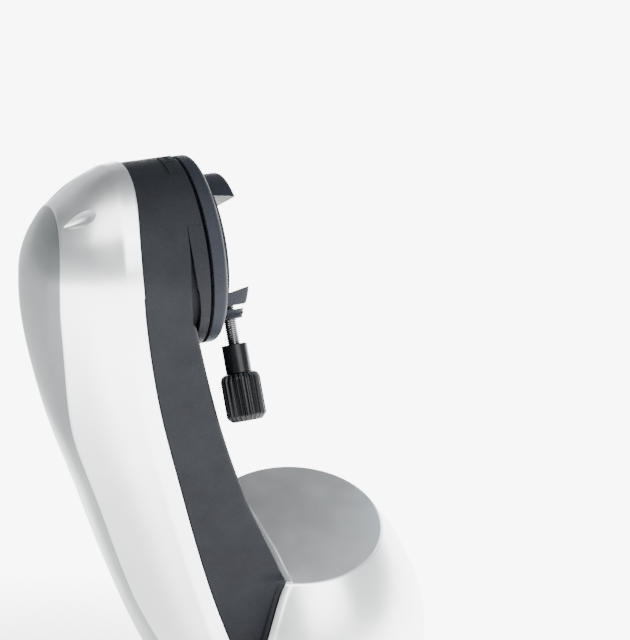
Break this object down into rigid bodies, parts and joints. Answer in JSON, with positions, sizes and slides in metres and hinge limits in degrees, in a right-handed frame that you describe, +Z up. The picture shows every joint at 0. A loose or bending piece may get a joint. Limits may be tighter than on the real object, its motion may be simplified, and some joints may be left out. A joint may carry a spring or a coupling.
{
  "type": "alt-azimuth telescope mount",
  "caption": "Side-arm motorised alt-azimuth telescope mount head: domed turntable base, leaning arm, geared altitude disc and dovetail saddle with clamp knob.",
  "frame": {"origin": "on the azimuth axis at the bottom face of the base", "axes": "+Z up along the azimuth axis, -X the side of the arm, -Y the way the telescope looks; the altitude axis is parallel to X, 320 mm up"},
  "size_m": [0.2567, 0.178, 0.3788],
  "materials": {
    "silver_shell": "silver metallic paint, satin",
    "dark_casting": "dark grey fine-textured paint",
    "dark_disc": "dark blue-grey grained paint",
    "black_plastic": "moulded, satin",
    "steel": "bright machined",
    "brass": "machined",
    "rubber": "matt",
    "circuit_board": "solder mask",
    "red_lamp": "clear red lens"
  },
  "bodies": {
    "base": {"base_plate": "dark_casting", "tripod_insert": "brass", "azimuth_spindle": "steel", "azimuth_ring_gear": "brass", "spindle_nut": "steel", "base_pad_1": "rubber", "base_pad_2": "rubber", "base_pad_3": "rubber", "spindle_screw_1": "steel", "spindle_screw_2": "steel", "spindle_screw_3": "steel"},
    "azimuth_head": {"turntable": "dark_casting", "azimuth_lower_bearing": "steel", "azimuth_upper_bearing": "steel", "arm_casting": "dark_casting", "arm_outer_shell": "silver_shell", "dome_shell": "silver_shell", "index_plate": "dark_disc", "altitude_front_bearing": "steel", "altitude_rear_bearing": "steel", "shell_screw_1": "steel", "shell_screw_2": "steel", "shell_screw_3": "steel", "dome_screw_1": "steel", "dome_screw_2": "steel", "dome_screw_3": "steel", "azimuth_gearbox": "steel", "azimuth_motor": "steel", "altitude_motor_bracket": "steel", "altitude_gearbox": "steel", "altitude_motor": "steel", "control_board": "circuit_board", "control_panel": "black_plastic", "power_jack": "black_plastic", "handset_socket": "black_plastic", "switch_housing": "black_plastic", "power_lamp": "red_lamp"},
    "azimuth_drive": {"azimuth_pinion": "brass"},
    "altitude_drive": {"altitude_pinion": "brass"},
    "power_rocker": {"power_switch": "black_plastic"},
    "altitude_head": {"altitude_disc": "dark_disc", "altitude_shaft": "steel", "altitude_gear": "brass", "altitude_shaft_nut": "steel", "saddle_body": "dark_disc", "saddle_screw_1": "steel", "saddle_screw_2": "steel", "saddle_screw_3": "steel"},
    "clamp": {"clamp_jaw": "dark_disc"},
    "clamp_handle": {"clamp_screw": "steel", "clamp_knob": "black_plastic"}
  },
  "joints": [
    {"name": "azimuth_turn", "type": "hinge", "parent": "base", "child": "azimuth_head", "pos_m": [0, 0, 0], "axis": [0, 0, 1], "continuous": true},
    {"name": "azimuth_pinion_spin", "type": "hinge", "parent": "azimuth_head", "child": "azimuth_drive", "pos_m": [0.04215, 0, 0.014], "axis": [0, 0, 1], "continuous": true},
    {"name": "altitude_turn", "type": "hinge", "parent": "azimuth_head", "child": "altitude_head", "pos_m": [-0.0687, 0, 0.32], "axis": [-1, 0, 0], "range_deg": [-45, 60]},
    {"name": "altitude_pinion_spin", "type": "hinge", "parent": "azimuth_head", "child": "altitude_drive", "pos_m": [-0.112, 0, 0.27785], "axis": [-1, 0, 0], "range_deg": [-360, 270]},
    {"name": "clamp_slide", "type": "slide", "parent": "altitude_head", "child": "clamp", "axis": [0, -0.5, -0.866], "range_m": [0, 0.0035]},
    {"name": "clamp_knob_turn", "type": "hinge", "parent": "clamp", "child": "clamp_handle", "pos_m": [-0.0483, 0, 0.32], "axis": [0, -0.5, -0.866], "range_deg": [0, 1010]},
    {"name": "power_switch_rock", "type": "hinge", "parent": "azimuth_head", "child": "power_rocker", "pos_m": [-0.017, 0.0771, 0.045], "axis": [0, 0, 1], "range_deg": [0, 20]}
  ],
  "couplings": [
    {"joint": "azimuth_pinion_spin", "follows": "azimuth_turn", "ratio": 6},
    {"joint": "altitude_pinion_spin", "follows": "altitude_turn", "ratio": -6},
    {"joint": "clamp_knob_turn", "follows": "clamp_slide", "rad_per_m": 5026.5}
  ]
}
